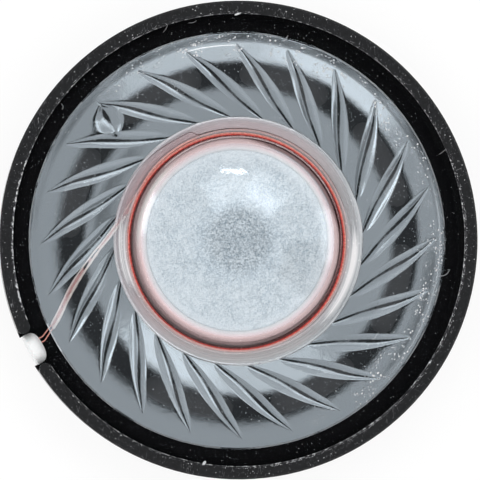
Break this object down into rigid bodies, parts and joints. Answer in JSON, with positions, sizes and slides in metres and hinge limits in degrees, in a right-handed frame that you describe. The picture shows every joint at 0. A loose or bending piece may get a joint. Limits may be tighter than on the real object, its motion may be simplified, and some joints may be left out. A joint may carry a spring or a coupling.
{
  "type": "miniature loudspeaker",
  "caption": "Round miniature loudspeaker with a clear pleated film diaphragm in a notched black rim, a red voice coil and a cup magnet at the back.",
  "frame": {"origin": "on the loudspeaker's axis at the back face of the magnet cup, which is the centre of the bottom of its box", "axes": "+Z along the axis towards the front, where the diaphragm shows; the rim's notch points 208 degrees from +X towards +Y"},
  "size_m": [0.036, 0.036, 0.006],
  "materials": {
    "black_plastic": "moulded, fine texture",
    "plated_steel": "nickel plated",
    "magnet_plating": "nickel plated rare-earth magnet",
    "pole_plating": "plated",
    "film": "clear polyester film",
    "enamelled_wire": "copper wire with red enamel",
    "clear_adhesive": "cured adhesive",
    "black_adhesive": "cured adhesive",
    "white_adhesive": "white glue",
    "nonwoven": "white nonwoven",
    "vent_nonwoven": "thin nonwoven",
    "board": "solder mask on laminate",
    "copper": "tinned copper foil",
    "solder": "tin solder"
  },
  "bodies": {
    "basket": {"frame": "black_plastic", "yoke": "plated_steel", "yoke_adhesive": "clear_adhesive", "magnet_adhesive": "clear_adhesive", "magnet": "magnet_plating", "plate_adhesive": "clear_adhesive", "pole_plate": "pole_plating", "damping_disc": "nonwoven", "flange_adhesive": "black_adhesive", "notch_glue": "white_adhesive", "vent_cloth": "vent_nonwoven", "terminal_board": "board", "contact_pad_start": "copper", "contact_pad_finish": "copper", "solder_joint_start": "solder", "solder_joint_finish": "solder"},
    "moving_coil": {"voice_coil": "enamelled_wire", "coil_adhesive": "clear_adhesive", "diaphragm": "film", "lead_wire_start": "enamelled_wire", "lead_wire_finish": "enamelled_wire", "lead_adhesive": "clear_adhesive"}
  },
  "joints": [
    {"name": "coil_travel", "type": "slide", "parent": "basket", "child": "moving_coil", "axis": [0, 0, 1], "range_m": [-0.0003, 0.0003], "stiffness_N_per_m": 400, "deforming": ["diaphragm", "lead_wire_start", "lead_wire_finish", "lead_adhesive"]}
  ]
}
